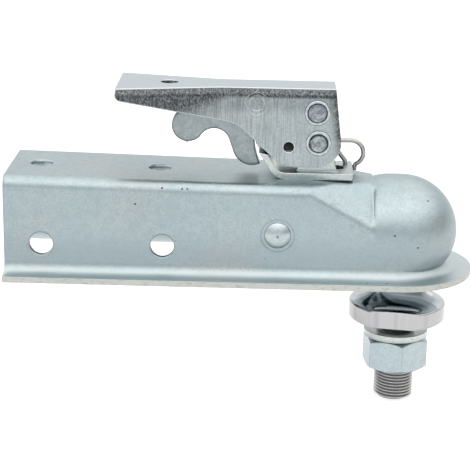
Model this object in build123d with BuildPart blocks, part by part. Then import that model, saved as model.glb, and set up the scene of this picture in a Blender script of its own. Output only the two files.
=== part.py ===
from build123d import *

import os
from math import acos, asin, atan2, cos, degrees, hypot, radians, sin, sqrt, tan

# Trailer ball coupler with its hitch ball, in millimetres.
# +X points to the ball, +Y across and +Z up. The origin lies on the channel's top
# face, midway between the two top bolt holes.

# Ball and socket
ball_dia = 47.625
ball_x = 145.8
ball_height = 19.9
socket_clearance = 0.3
socket_run = 5.8

# Pressed body
wall = 2.8
tongue_width = 50.8
tongue_clearance = 0.2
channel_height = 48.4
rear_overhang = 43.0
bend_radius = 2.2
seat_drop = 1.4
seat_x = 85.0
shoulder_x = 101.0
crease_back = 14.6
crease_lead = 1.8
facet_clearance = 2.6
bend_flat = 0.2
neck_drop = 15.0
lip_width = 74.0
lip_front = 180.6
cove_radius = 6.0
foot_pull = 6.0

# Bolt and rivet holes of the body
bolt_hole_dia = 11.2
bolt_spacing = 57.15
side_hole_x = 3.1
side_hole_height = 16.9
clamp_pivot_x = 85.9
clamp_pivot_height = 23.2
clamp_rivet_dia = 8.0
clamp_head_dia = 12.6
clamp_head_height = 2.2
clamp_ring_dia = 15.5
clamp_ring_depth = 0.35

# Latch plate and its ears
plate_thickness = 3.0
plate_width = 26.0
plate_front_x = 121.3
plate_corner = 1.5
tab_bend_x = 88.8
tab_bend_radius = 5.5
tab_angle = 58.0
strip_length = 10.6
strip_top_z = 12.6
strip_top_slope = 0.2625
tongue_length = 13.6
tongue_half = 5.0
tongue_corner = 2.4
ear_clearance = 0.4
ear_thickness = 3.0
ear_radius = 8.0
ear_rear_x = 94.5
ear_front_x = 113.6
ear_step_z = 5.5
slot_side_gap = 0.5
slot_rear_x = 98.5
slot_front_x = 117.2

# Handle
lever_x = 104.1
lever_z = 16.3
link_pin_x = 103.2
link_pin_z = 30.8
handle_top = 41.7
handle_front_x = 111.7
handle_nose_x = 116.3
handle_rear_x = 9.0
handle_width = 25.0
handle_tail_width = 46.5
handle_sheet = 3.0
flare_x = 58.0
flare_radius = 40.0
handle_bend = 1.0
handle_foot_x = 87.3
handle_foot_z = 4.4
handle_knee_x = 65.9
handle_knee_z = 24.7
handle_tail_z = 36.7
handle_nose_radius = 11.6
handle_foot_radius = 14.0
handle_knee_radius = 14.0
handle_tail_corner = 3.0
lanyard_hole_x = 33.0
lanyard_hole_dia = 8.6
lock_hole_x = 90.1
lock_hole_z = 14.0
lock_hole_dia = 5.0

# Rivets of the handle
lever_rivet_dia = 8.0
lever_head_dia = 12.0
lever_head_height = 1.2
lever_tail_dia = 10.0
lever_tail_height = 1.2
head_edge = 0.4
head_ring_radius = 4.5
head_ring_depth = 0.5
rivet_clearance = 0.05
face_gap = 0.15

# Link, its nut and spring
link_side_gap = 0.75
link_eye_radius = 7.0
link_eye_step = 0.5
link_end_height = 2.2
link_end_chamfer = 0.8
link_nut_width = 12.7
link_nut_height = 6.5
link_washer_dia = 17.0
washer_side_gap = 0.4
link_washer_thickness = 1.6
link_slack = 1.05
link_spacer_radius = 5.2
spring_x = 106.0
spring_wire = 1.6
spring_radius = 10.2
spring_turns = 5
spring_gap = 0.1
spring_seat_drop = 5.2

# Ball clamp
clamp_web = 4.0
clamp_web_height = 13.0
clamp_half_width = 15.0
clamp_ball_gap = 0.35
clamp_nose = 4.45
clamp_nose_start = 176.0
clamp_nose_end = 222.0
clamp_ear_thickness = 3.0
clamp_ear_radius = 7.0
clamp_ear_front_x = 112.0
clamp_web_rear_x = 92.0
clamp_slot_behind = 0.5
clamp_slot_ahead = 2.2
clamp_spacer_radius = 6.0
clamp_side_gap = 0.2

# Trigger
trigger_thickness = 6.0
trigger_x = 74.8
trigger_z = 34.7
trigger_rivet_dia = 4.0
trigger_head_dia = 10.8
trigger_head_depth = 0.8
trigger_dish_radius = 3.4
trigger_dish_depth = 0.3
trigger_boss_radius = 3.7
finger_reach = 30.6
finger_z = 21.4
finger_radius = 7.8
heel_x = 72.7
heel_z = 11.7
heel_radius = 9.2
arch_reach = 18.1
arch_z = 12.6
arch_radius = 7.6
trigger_sweep = 30.3
trigger_spacer_radius = 2.7
coil_wire = 0.9
coil_radius = 3.25
coil_room = 1.1
coil_pitch = 1.0
coil_leg = 8.0

# Wire loop
wire_dia = 2.2
wire_clearance = 0.7
wire_hole_dia = 2.8
wire_hole_x = 118.0
wire_end_depth = 1.2
wire_knee_z = 3.0
wire_rear_x = 113.4
wire_rear_z = 8.9
wire_corner = 1.6
loop_x = 120.5
loop_z = 7.1
loop_radius = 6.1
loop_end_angle = 62.0
loop_end_radius = 1.5

# Hitch ball and its fasteners
ball_top_flat = 15.8
neck_radius = 12.7
flare_start_drop = 6.3
neck_flare = 9.85
flange_radius = 23.6
flange_bottom_drop = 24.8
flange_chamfer = 0.9
flat_width = 41.275
flat_turn = 8.5
shank_dia = 19.05
shank_end_drop = 66.5
shank_chamfer = 1.5
washer_top_drop = 30.7
washer_thickness = 3.2
washer_dia = 31.6
washer_bore = 19.7
washer_rise = 0.5
washer_turn = 345.0
nut_top_drop = 34.5
nut_bottom_drop = 50.0
nut_width = 28.6
nut_turn = 8.7
nut_chamfer = 1.5
thread_clearance = 0.08

# Places worked out from the sizes above
foot_z = -channel_height
rear_x = -rear_overhang
ball_z = foot_z + ball_height
ball_radius = ball_dia / 2
socket_radius = ball_radius + socket_clearance
rear_half = tongue_width / 2 + tongue_clearance
crease_x = ball_x - crease_back
crease_top = ball_z + sqrt((socket_radius + wall) ** 2 - (crease_back - socket_run) ** 2)
clamp_pivot_z = foot_z + clamp_pivot_height
facet_reach = sqrt(ball_radius**2 - crease_back**2) + facet_clearance + wall
clamp_web_z = foot_z + clamp_web_height
clamp_web_top = clamp_web_z + clamp_web
plate_bottom = -seat_drop
plate_top = plate_bottom + plate_thickness
handle_half = handle_width / 2
handle_inner = handle_half - handle_sheet
ear_gap = 2 * (handle_inner - ear_clearance - ear_thickness)
link_dia = ear_gap - 2 * (face_gap + lever_tail_height + link_side_gap)
link_eye_half = link_dia / 2 + link_eye_step
link_washer_bore = link_dia + 2 * washer_side_gap
slot_width = link_dia + 2 * slot_side_gap
wire_y = handle_inner - wire_clearance - wire_dia / 2
finger_x = heel_x - finger_reach
arch_x = heel_x - arch_reach
coil_space = handle_inner - trigger_thickness / 2 - coil_wire - coil_room
coil_turns = round(coil_space / coil_pitch - 0.5) + 0.5
run_length = ball_x - rear_x
taper = degrees(atan2(rear_half, run_length) - asin(socket_radius / hypot(run_length, rear_half)))
side_z = foot_z + side_hole_height


def inner_half(x):
    """Half the channel's inside width at x: the walls close in towards the ball."""
    return rear_half - (x - rear_x) * tan(radians(taper))


def top_height(x):
    """The top face falls from the bolt holes to the level seat of the latch plate."""
    return -seat_drop * min(x, seat_x) / seat_x


def cross_plane(x):
    """A plane square to the channel at x, with Y as its first axis and Z as its second."""
    return Plane(origin=(x, 0, 0), x_dir=(0, 1, 0), z_dir=(1, 0, 0))


# The neck's facets stand at 45 degrees, clear of the ball
facet_size = inner_half(crease_x) + wall + crease_top - ball_z - facet_reach * sqrt(2)


def neck_share(x):
    """How far x lies from the shoulder, 0, to the crease, 1."""
    return max(0, (x - shoulder_x) / (crease_x - shoulder_x))


def crease_start(skin):
    """Where the socket begins: the inner step lies ahead of the outer one, to keep the sheet whole."""
    return crease_x + crease_lead * (wall - skin) / wall


def bent_section(x, skin, foot):
    """The channel's section at x: two walls, a top and the facets that lead to the ball."""
    share = neck_share(x)
    cover = wall - skin
    half = inner_half(x) + skin
    top = top_height(x) - cover + share * (crease_top + seat_drop)
    bend = (bend_radius + wall) * (2 - sqrt(2)) + bend_flat
    facet = bend + share * (facet_size - bend) - cover * (2 - sqrt(2))
    with BuildSketch(cross_plane(x)) as section:
        Polygon(
            (-half, foot),
            (-half, top - facet),
            (facet - half, top),
            (half - facet, top),
            (half, top - facet),
            (half, foot),
            align=None,
        )
        fillet(section.vertices().filter_by(lambda v: v.Y > foot + 1), bend_radius + skin)
    return section.sketch


def dome_section(x, start, skin):
    """The upper half of the socket's section at x, as wide as the wall's line to the ball's side."""
    dome = socket_radius + skin
    side = inner_half(start) + skin
    half = side + (dome - side) * (x - start) / (ball_x - start)
    rise = sqrt(dome**2 - max(0, ball_x - socket_run - x) ** 2)
    with BuildSketch(cross_plane(x)) as section:
        with Locations((0, ball_z)):
            Ellipse(half, rise)
            Rectangle(3 * half, 2 * rise, align=(Align.CENTER, Align.MIN), mode=Mode.INTERSECT)
    return section.sketch


def socket_slice(drop, skin, z):
    """A level slice of the socket below its equator, pulled back as the ball's side is."""
    radius = socket_radius + skin
    pull = socket_radius - sqrt(socket_radius**2 - drop**2)
    start = crease_start(skin)
    side = inner_half(start) + skin
    centre = ball_x - pull
    with BuildSketch(Plane.XY.offset(z)) as outline:
        with BuildLine():
            Line((start, side), (centre, radius))
            ThreePointArc((centre, radius), (centre + radius, 0), (centre, -radius))
            Line((centre, -radius), (start, -side))
            Line((start, -side), (start, side))
        make_face()
    return outline.sketch


def pressed_form(skin, overrun):
    """The channel, neck and socket as one solid whose surface lies skin outside the inner face."""
    foot = foot_z - overrun
    start = crease_start(skin)
    dome = socket_radius + skin
    with BuildPart() as form:
        loft([bent_section(x, skin, foot) for x in (rear_x - overrun, seat_x, shoulder_x, start)], ruled=True)
        loft([socket_slice(drop, skin, ball_z - drop) for drop in (0, neck_drop / 3, neck_drop / 1.5, neck_drop)])
        with BuildSketch(Plane.XY.offset(ball_z - neck_drop)):
            add(socket_slice(neck_drop, skin, 0))
        extrude(amount=foot - (ball_z - neck_drop))
        rear_centre = ball_x - socket_run
        places = (start, (start + rear_centre) / 2, rear_centre, (rear_centre + ball_x) / 2, ball_x)
        loft([dome_section(x, start, skin) for x in places])
        with BuildSketch(Plane.XY.offset(ball_z)):
            with BuildLine():
                Line((ball_x, 0), (ball_x, dome))
                TangentArc((ball_x, dome), (ball_x + dome, 0), tangent=(1, 0))
                Line((ball_x + dome, 0), (ball_x, 0))
            make_face()
        revolve(axis=Axis((0, 0, ball_z), (1, 0, 0)), revolution_arc=180)
    return form.part


def foot_sweep(skin, outline):
    """Sweeps an outline of (outward, up) points round the foot of the walls."""
    turn = radians(taper)
    centre = ball_x - foot_pull
    radius = (inner_half(centre) + skin) * cos(turn)
    start = (rear_x, inner_half(rear_x) + skin)
    touch = (centre + radius * sin(turn), radius * cos(turn))
    with BuildPart() as band:
        with BuildLine(Plane.XY.offset(foot_z)) as route:
            Line(start, touch)
            ThreePointArc(touch, (centre + radius, 0), (touch[0], -touch[1]))
            Line((touch[0], -touch[1]), (start[0], -start[1]))
        with BuildSketch(
            Plane(
                origin=(start[0], start[1], foot_z),
                x_dir=(sin(turn), cos(turn), 0),
                z_dir=(cos(turn), -sin(turn), 0),
            )
        ):
            add(outline)
        sweep(path=route.line)
    return band.part


# The concave fillet between a wall and the top of the lip
with BuildSketch() as cove_outline:
    with BuildLine():
        Polyline((cove_radius, wall), (cove_radius, wall - 1), (-1, wall - 1))
        Polyline((-1, wall - 1), (-1, wall + cove_radius), (0, wall + cove_radius))
        TangentArc((cove_radius, wall), (0, wall + cove_radius), tangent=(-1, 0))
    make_face()

# The space under the rounded bend from a wall's inside to the lip's underside
bend_outside = cove_radius + wall
with BuildSketch() as flare_outline:
    with BuildLine():
        Polyline((bend_outside, 0), (bend_outside, -1), (-1, -1))
        Polyline((-1, -1), (-1, bend_outside), (0, bend_outside))
        TangentArc((bend_outside, 0), (0, bend_outside), tangent=(-1, 0))
    make_face()


# The pressing's outside, its inside and the two rounds at its foot
outer_form = pressed_form(wall, 0)
inner_form = pressed_form(0, 1)
outer_cove = foot_sweep(wall, cove_outline.sketch)
inner_flare = foot_sweep(0, flare_outline.sketch)
ring_floor = inner_half(clamp_pivot_x) + wall - clamp_ring_depth


def disc(x, z, radius, y):
    """A round face square to Y, for pins, heads and holes."""
    with BuildSketch(Plane.XZ.offset(-y)) as face:
        with Locations((x, z)):
            Circle(radius)
    return face.sketch


def ring(x, z, outer, inner, y):
    """A round face with a hole in it, square to Y."""
    with BuildSketch(Plane.XZ.offset(-y)) as face:
        with Locations((x, z)):
            Circle(outer)
            Circle(inner, mode=Mode.SUBTRACT)
    return face.sketch


def turned(x, z, outline):
    """Half a rivet's outline, as (radius, y) points beside an axis along Y."""
    with BuildSketch(Plane.XY.offset(z)) as half:
        with Locations((x, 0)):
            Polygon(*outline, align=None)
    return half.sketch


def hexagon(x, z, across, turn):
    """A level hexagon with one corner turned from straight ahead of the camera."""
    with BuildSketch(Plane.XY.offset(z)) as outline:
        with Locations((x, 0)):
            RegularPolygon(across / 2, 6, major_radius=False, rotation=turn)
    return outline.sketch


# Coupler body, one pressing
with BuildPart() as coupler_body:
    add(outer_form)
    with BuildSketch(Plane.XY.offset(foot_z)):
        lip_centre = lip_front - lip_width / 2
        with Locations(((rear_x + lip_centre) / 2, 0)):
            Rectangle(lip_centre - rear_x, lip_width)
        with Locations((lip_centre, 0)):
            Circle(lip_width / 2)
    extrude(amount=wall)
    add(outer_cove)
    add(inner_form, mode=Mode.SUBTRACT)
    add(inner_flare, mode=Mode.SUBTRACT)
    with BuildSketch(Plane.XY.offset(wall)):
        with GridLocations(bolt_spacing, 0, 2, 1):
            Circle(bolt_hole_dia / 2)
        with Locations(((slot_rear_x + slot_front_x) / 2, 0)):
            SlotOverall(slot_front_x - slot_rear_x, slot_width)
    extrude(amount=-4 * wall, mode=Mode.SUBTRACT)
    with BuildSketch(Plane.XZ):
        with Locations((side_hole_x - bolt_spacing / 2, side_z), (side_hole_x + bolt_spacing / 2, side_z)):
            Circle(bolt_hole_dia / 2)
        with Locations((clamp_pivot_x, clamp_pivot_z)):
            Circle(clamp_rivet_dia / 2 + rivet_clearance)
    extrude(amount=tongue_width, both=True, mode=Mode.SUBTRACT)
    for ring_start in (ring_floor, -ring_floor - wall):
        extrude(
            disc(clamp_pivot_x, clamp_pivot_z, clamp_ring_dia / 2, ring_start),
            amount=-wall,
            mode=Mode.SUBTRACT,
        )
coupler_body.part.label = "coupler_body"

# Cross rivet of the body, with a domed head on each side
with BuildPart() as clamp_rivet:
    head_sphere = (clamp_head_dia**2 / 4 + clamp_head_height**2) / (2 * clamp_head_height)
    with BuildSketch(Plane.XY.offset(clamp_pivot_z)):
        with BuildLine():
            tip = ring_floor + clamp_head_height
            shank_side = clamp_pivot_x + clamp_rivet_dia / 2
            head_side = clamp_pivot_x + clamp_head_dia / 2
            Polyline((clamp_pivot_x, 0), (shank_side, 0), (shank_side, ring_floor), (head_side, ring_floor))
            RadiusArc((head_side, ring_floor), (clamp_pivot_x, tip), -head_sphere)
            Line((clamp_pivot_x, tip), (clamp_pivot_x, 0))
        make_face()
    revolve(axis=Axis((clamp_pivot_x, 0, clamp_pivot_z), (0, 1, 0)))
    mirror(about=Plane.XZ)
clamp_rivet.part.label = "clamp_rivet"

# Tubes on the cross rivet, between the clamp's ears and the walls
spacer_start = clamp_half_width + clamp_side_gap
spacer_end = inner_half(clamp_pivot_x + clamp_spacer_radius) - clamp_side_gap
with BuildPart() as clamp_spacers:
    extrude(
        ring(
            clamp_pivot_x,
            clamp_pivot_z,
            clamp_spacer_radius,
            clamp_rivet_dia / 2 + rivet_clearance,
            spacer_start,
        ),
        amount=spacer_start - spacer_end,
    )
    mirror(about=Plane.XZ)
clamp_spacers.part.label = "clamp_spacers"

# Latch plate: bent up behind as the catch, with two ears welded on for the handle
tab_turn = radians(tab_angle)
tab_outer = tab_bend_radius + plate_thickness
tab_x = tab_bend_x - tab_outer * sin(tab_turn)
tab_z = plate_bottom + tab_outer * (1 - cos(tab_turn))
tab_plane = Plane(origin=(tab_x, 0, tab_z), x_dir=(0, 1, 0), z_dir=(sin(tab_turn), 0, cos(tab_turn)))
with BuildPart() as latch_plate:
    with BuildSketch(Plane.XZ.offset(-plate_width / 2)):
        with BuildLine():
            bend = (tab_bend_x, plate_bottom + tab_outer)
            outside = CenterArc(bend, tab_outer, 270, -tab_angle)
            inside = CenterArc(bend, tab_bend_radius, 270, -tab_angle)
            Line(outside @ 1, inside @ 1)
            Polyline(inside @ 0, (plate_front_x, plate_top), (plate_front_x, plate_bottom), outside @ 0)
        make_face()
    extrude(amount=plate_width)
    with BuildSketch(tab_plane) as tab:
        Rectangle(2 * tongue_half, tongue_length, align=(Align.CENTER, Align.MIN))
        fillet(tab.vertices().filter_by(lambda v: v.Y > strip_length), tongue_corner)
    extrude(amount=plate_thickness)
    with BuildSketch(tab_plane):
        with Locations((-plate_width / 2, 0)):
            Rectangle(plate_width / 2 - tongue_half, strip_length, align=(Align.MIN, Align.MIN))
    extrude(amount=plate_thickness)
    with BuildSketch(Plane.XZ.offset(tongue_half)):
        cut_start = tab_x - strip_length
        cut_end = tab_x + tab_outer
        Polygon(
            (cut_start, strip_top_z),
            (cut_end, strip_top_z - strip_top_slope * (cut_end - cut_start)),
            (cut_end, 2 * strip_top_z),
            (cut_start, 2 * strip_top_z),
            align=None,
        )
    extrude(amount=plate_width, mode=Mode.SUBTRACT)
    with BuildSketch(Plane.XZ.offset(-ear_gap / 2)):
        with Locations((lever_x, lever_z)):
            Circle(ear_radius)
        Polygon(
            (lever_x - ear_radius, lever_z),
            (ear_rear_x, plate_top),
            (ear_front_x, plate_top),
            (lever_x + ear_radius, ear_step_z),
            (lever_x + ear_radius, lever_z),
            align=None,
        )
        with Locations((lever_x, lever_z)):
            Circle(lever_rivet_dia / 2 + rivet_clearance, mode=Mode.SUBTRACT)
    extrude(amount=-ear_thickness)
    mirror(about=Plane.XZ)
    with BuildSketch(Plane.XY.offset(plate_top)):
        with Locations(((slot_rear_x + slot_front_x) / 2, 0)):
            SlotOverall(slot_front_x - slot_rear_x, slot_width)
        with Locations((wire_hole_x, wire_y)):
            Circle(wire_hole_dia / 2)
    extrude(amount=-2 * plate_thickness, mode=Mode.SUBTRACT)
    fillet(latch_plate.edges().filter_by(Axis.Z).group_by(Axis.X)[-1], plate_corner)
latch_plate.part.label = "latch_plate"


def handle_plan(inset):
    """The handle seen from above, run past both ends, its sides moved in by inset."""
    with BuildSketch(Plane.XY) as plan:
        slope = (handle_tail_width - handle_width) / 2 / (flare_x - handle_rear_x)
        back = handle_rear_x - handle_width
        front = handle_nose_x + handle_width
        spread = handle_half + slope * (flare_x - back)
        with BuildLine():
            Polyline(
                (front, handle_half),
                (flare_x, handle_half),
                (back, spread),
                (back, -spread),
                (flare_x, -handle_half),
                (front, -handle_half),
                (front, handle_half),
            )
        make_face()
        fillet(plan.vertices().filter_by(lambda v: abs(v.X - flare_x) < 0.01), flare_radius)
        if inset:
            offset(amount=-inset, kind=Kind.INTERSECTION, mode=Mode.REPLACE)
    return plan.sketch


# Handle: one folded sheet, a flat top and two side walls
outer_plan = handle_plan(0)
inner_plan = handle_plan(handle_sheet)
with BuildPart() as handle_inside:
    extrude(inner_plan, amount=handle_top - handle_sheet)
    inside_top = handle_inside.faces().sort_by(Axis.Z)[-1]
    fillet(inside_top.edges().filter_by(lambda e: abs(e.center().Y) > 1), handle_bend)
with BuildPart() as handle:
    extrude(outer_plan, amount=handle_top)
    outside_top = handle.faces().sort_by(Axis.Z)[-1]
    fillet(outside_top.edges().filter_by(lambda e: abs(e.center().Y) > 1), handle_bend + handle_sheet)
    add(handle_inside.part, mode=Mode.SUBTRACT)
    with BuildSketch(Plane.XZ) as profile:
        with BuildLine():
            Polyline(
                (handle_front_x, handle_top),
                (handle_nose_x, handle_foot_z),
                (handle_foot_x, handle_foot_z),
                (handle_knee_x, handle_knee_z),
                (handle_rear_x, handle_tail_z),
                (handle_rear_x, handle_top),
                (handle_front_x, handle_top),
            )
        make_face()
        for corner_x, corner_radius in (
            (handle_nose_x, handle_nose_radius),
            (handle_foot_x, handle_foot_radius),
            (handle_knee_x, handle_knee_radius),
        ):
            fillet(
                profile.vertices().sort_by(lambda v: abs(v.X - corner_x))[0],
                corner_radius,
            )
        fillet(
            profile.vertices().filter_by(lambda v: v.X < handle_rear_x + 1 and v.Y < handle_top - 1),
            handle_tail_corner,
        )
    extrude(amount=handle_tail_width, both=True, mode=Mode.INTERSECT)
    with BuildSketch(Plane.XZ):
        with Locations((lever_x, lever_z), (link_pin_x, link_pin_z)):
            Circle(lever_rivet_dia / 2 + rivet_clearance)
        with Locations((trigger_x, trigger_z)):
            Circle(trigger_rivet_dia / 2 + rivet_clearance)
        with Locations((lock_hole_x, lock_hole_z)):
            Circle(lock_hole_dia / 2)
    extrude(amount=handle_tail_width, both=True, mode=Mode.SUBTRACT)
    for recess_start in (handle_half - trigger_head_depth, -handle_half - handle_sheet + trigger_head_depth):
        extrude(
            disc(trigger_x, trigger_z, trigger_head_dia / 2 + rivet_clearance, recess_start),
            amount=-handle_sheet,
            mode=Mode.SUBTRACT,
        )
    with BuildSketch(Plane.XY.offset(handle_top)):
        with Locations((lanyard_hole_x, 0)):
            Circle(lanyard_hole_dia / 2)
    extrude(amount=-2 * handle_sheet, mode=Mode.SUBTRACT)
handle.part.label = "handle"

# Lower rivets: a short one on each side, turning in the ears
tail_face = ear_gap / 2 - face_gap
head_face = handle_half + lever_head_height
with BuildPart() as lever_rivets:
    outline = turned(
        lever_x,
        lever_z,
        [
            (0, tail_face - lever_tail_height),
            (lever_tail_dia / 2 - head_edge, tail_face - lever_tail_height),
            (lever_tail_dia / 2, tail_face - lever_tail_height + head_edge),
            (lever_tail_dia / 2, tail_face),
            (lever_rivet_dia / 2, tail_face),
            (lever_rivet_dia / 2, handle_half),
            (lever_head_dia / 2, handle_half),
            (lever_head_dia / 2, head_face - head_edge),
            (lever_head_dia / 2 - head_edge, head_face),
            (head_ring_radius, head_face),
            (head_ring_radius - head_ring_depth, head_face - head_ring_depth),
            (0, head_face - head_ring_depth),
        ],
    )
    revolve(outline, axis=Axis((lever_x, 0, lever_z), (0, 1, 0)))
    mirror(about=Plane.XZ)
lever_rivets.part.label = "lever_rivets"

# Upper rivet: right through, carrying the link
with BuildPart() as link_rivet:
    outline = turned(
        link_pin_x,
        link_pin_z,
        [
            (0, 0),
            (lever_rivet_dia / 2, 0),
            (lever_rivet_dia / 2, handle_half),
            (lever_head_dia / 2, handle_half),
            (lever_head_dia / 2, head_face - head_edge),
            (lever_head_dia / 2 - head_edge, head_face),
            (head_ring_radius + head_edge, head_face),
            (head_ring_radius, head_face - head_edge),
            (head_ring_radius - head_edge, head_face - head_edge),
            (head_ring_radius - 2 * head_edge, head_face),
            (0, head_face),
        ],
    )
    revolve(outline, axis=Axis((link_pin_x, 0, link_pin_z), (0, 1, 0)))
    mirror(about=Plane.XZ)
link_rivet.part.label = "link_rivet"

# Tubes that keep the link's eye central
with BuildPart() as link_spacers:
    extrude(
        ring(
            link_pin_x,
            link_pin_z,
            link_spacer_radius,
            lever_rivet_dia / 2 + rivet_clearance,
            link_eye_half + face_gap,
        ),
        amount=link_eye_half + 2 * face_gap - handle_inner,
    )
    mirror(about=Plane.XZ)
link_spacers.part.label = "link_spacers"

# Trigger rivet: flush heads let into the handle's walls
with BuildPart() as trigger_rivet:
    outline = turned(
        trigger_x,
        trigger_z,
        [
            (0, 0),
            (trigger_rivet_dia / 2, 0),
            (trigger_rivet_dia / 2, handle_half - trigger_head_depth),
            (trigger_head_dia / 2, handle_half - trigger_head_depth),
            (trigger_head_dia / 2, handle_half),
            (trigger_dish_radius + trigger_dish_depth, handle_half),
            (trigger_dish_radius, handle_half - trigger_dish_depth),
            (0, handle_half - trigger_dish_depth),
        ],
    )
    revolve(outline, axis=Axis((trigger_x, 0, trigger_z), (0, 1, 0)))
    mirror(about=Plane.XZ)
trigger_rivet.part.label = "trigger_rivet"

# Tubes that keep the trigger central
with BuildPart() as trigger_spacers:
    extrude(
        ring(
            trigger_x,
            trigger_z,
            trigger_spacer_radius,
            trigger_rivet_dia / 2 + rivet_clearance,
            trigger_thickness / 2 + face_gap,
        ),
        amount=trigger_thickness / 2 + 2 * face_gap - handle_inner,
    )
    mirror(about=Plane.XZ)
trigger_spacers.part.label = "trigger_spacers"

# Trigger: finger lobe, arch and heel, the heel cut on an arc about the handle's pivot
heel_run = hypot(heel_x - arch_x, heel_z - arch_z)
heel_lean = atan2(heel_z - arch_z, heel_x - arch_x) + acos((arch_radius + heel_radius) / heel_run)
arch_leave = (arch_x + arch_radius * cos(heel_lean), arch_z + arch_radius * sin(heel_lean))
heel_meet = (heel_x - heel_radius * cos(heel_lean), heel_z - heel_radius * sin(heel_lean))
with BuildPart() as trigger:
    with BuildSketch(Plane.XZ.offset(-trigger_thickness / 2)):
        with BuildSketch() as lobes:
            with Locations((finger_x, finger_z)):
                Circle(finger_radius)
            with Locations((heel_x, heel_z)):
                Circle(heel_radius)
            with Locations((trigger_x, trigger_z)):
                Circle(trigger_boss_radius)
            make_hull(mode=Mode.REPLACE)
        Polygon(
            (finger_x, finger_z),
            (arch_x, arch_z),
            arch_leave,
            heel_meet,
            (heel_x, heel_z),
            (heel_x, heel_z - 2 * heel_radius),
            (finger_x, heel_z - 2 * heel_radius),
            align=None,
            mode=Mode.SUBTRACT,
        )
        with Locations((finger_x, finger_z)):
            Circle(finger_radius)
        with Locations((heel_x, heel_z)):
            Circle(heel_radius)
        with Locations((arch_x, arch_z)):
            Circle(arch_radius, mode=Mode.SUBTRACT)
        with Locations((lever_x, lever_z)):
            Circle(trigger_sweep, mode=Mode.SUBTRACT)
        with Locations((trigger_x, trigger_z)):
            Circle(trigger_boss_radius)
            Circle(trigger_rivet_dia / 2 + rivet_clearance, mode=Mode.SUBTRACT)
    extrude(amount=trigger_thickness)
trigger.part.label = "trigger"

# Link: an eye on the upper rivet and a threaded stem through the clamp
washer_level = clamp_web_z - link_slack
nut_level = washer_level - link_washer_thickness
link_end_z = nut_level - link_nut_height - link_end_height
with BuildPart() as latch_link:
    extrude(disc(link_pin_x, link_pin_z, link_eye_radius, -link_eye_half), amount=-2 * link_eye_half)
    with BuildSketch(Plane.XY.offset(link_end_z)):
        with Locations((link_pin_x, 0)):
            Circle(link_dia / 2)
    extrude(amount=link_pin_z - link_end_z)
    chamfer(latch_link.edges().filter_by(GeomType.CIRCLE).sort_by(Axis.Z)[0], link_end_chamfer)
    extrude(
        disc(link_pin_x, link_pin_z, lever_rivet_dia / 2 + rivet_clearance, -handle_half),
        amount=-handle_width,
        mode=Mode.SUBTRACT,
    )
latch_link.part.label = "latch_link"

with BuildPart() as link_washer:
    with BuildSketch(Plane.XY.offset(nut_level)):
        with Locations((link_pin_x, 0)):
            Circle(link_washer_dia / 2)
            Circle(link_washer_bore / 2, mode=Mode.SUBTRACT)
    extrude(amount=link_washer_thickness)
link_washer.part.label = "link_washer"

with BuildPart() as link_nut:
    extrude(hexagon(link_pin_x, nut_level, link_nut_width, 0), amount=-link_nut_height)
    with BuildSketch(Plane.XZ):
        with Locations((link_pin_x, nut_level)):
            corner = link_nut_width / sqrt(3)
            face = link_nut_width / 2
            slope = (corner - face) / 2
            Polygon(
                (0, 0),
                (face, 0),
                (corner, -slope),
                (corner, slope - link_nut_height),
                (face, -link_nut_height),
                (0, -link_nut_height),
                align=None,
            )
    revolve(axis=Axis((link_pin_x, 0, 0), (0, 0, 1)), mode=Mode.INTERSECT)
    with BuildSketch(Plane.XY.offset(nut_level)):
        with Locations((link_pin_x, 0)):
            Circle(link_dia / 2 + rivet_clearance)
    extrude(amount=-link_nut_height, mode=Mode.SUBTRACT)
link_nut.part.label = "link_nut"

# Ball clamp: two ears on the cross rivet, a web the link pulls up, and the ball's seat
seat_radius = ball_radius + clamp_ball_gap
with BuildPart() as ball_clamp:
    with BuildSketch(Plane.XZ):
        with BuildLine():
            ball_centre = (ball_x, ball_z)
            sweep_angle = clamp_nose_end - clamp_nose_start
            near = CenterArc(ball_centre, seat_radius, clamp_nose_start, sweep_angle)
            far = CenterArc(ball_centre, seat_radius + clamp_nose, clamp_nose_start, sweep_angle)
            Line(near @ 0, far @ 0)
            Line(near @ 1, far @ 1)
        make_face()
    revolve(axis=Axis((ball_x, 0, 0), (0, 0, 1)))
    with BuildSketch(Plane.XY.offset(foot_z)):
        with Locations((ball_x, 0)):
            Rectangle(2 * ball_radius, 2 * clamp_half_width, align=(Align.MAX, Align.CENTER))
            Rectangle(ball_radius + 2 * clamp_nose, 2 * clamp_half_width, align=(Align.MAX, Align.CENTER))
    extrude(amount=channel_height, mode=Mode.INTERSECT)
    with BuildSketch(Plane.XY.offset(clamp_web_z)):
        web_front = ball_x - seat_radius - clamp_nose / 2
        with Locations((clamp_web_rear_x, 0)):
            Rectangle(web_front - clamp_web_rear_x, 2 * clamp_half_width, align=(Align.MIN, Align.CENTER))
    extrude(amount=clamp_web)
    with BuildSketch(Plane.XZ.offset(-clamp_half_width)):
        with BuildSketch() as ear:
            with Locations((clamp_pivot_x, clamp_pivot_z)):
                Circle(clamp_ear_radius)
            with Locations((clamp_web_rear_x, clamp_web_z)):
                Rectangle(clamp_ear_front_x - clamp_web_rear_x, clamp_web, align=(Align.MIN, Align.MIN))
            make_hull(mode=Mode.REPLACE)
        with Locations((clamp_pivot_x, clamp_pivot_z)):
            Circle(clamp_rivet_dia / 2 + rivet_clearance, mode=Mode.SUBTRACT)
    extrude(amount=clamp_ear_thickness)
    mirror(about=Plane.XZ)
    with BuildSketch(Plane.XY.offset(clamp_web_top)):
        slot_start = link_pin_x - link_dia / 2 - clamp_slot_behind
        slot_end = link_pin_x + link_dia / 2 + clamp_slot_ahead
        with Locations(((slot_start + slot_end) / 2, 0)):
            SlotOverall(slot_end - slot_start, slot_width)
    extrude(amount=-2 * clamp_web, mode=Mode.SUBTRACT)
ball_clamp.part.label = "ball_clamp"

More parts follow.
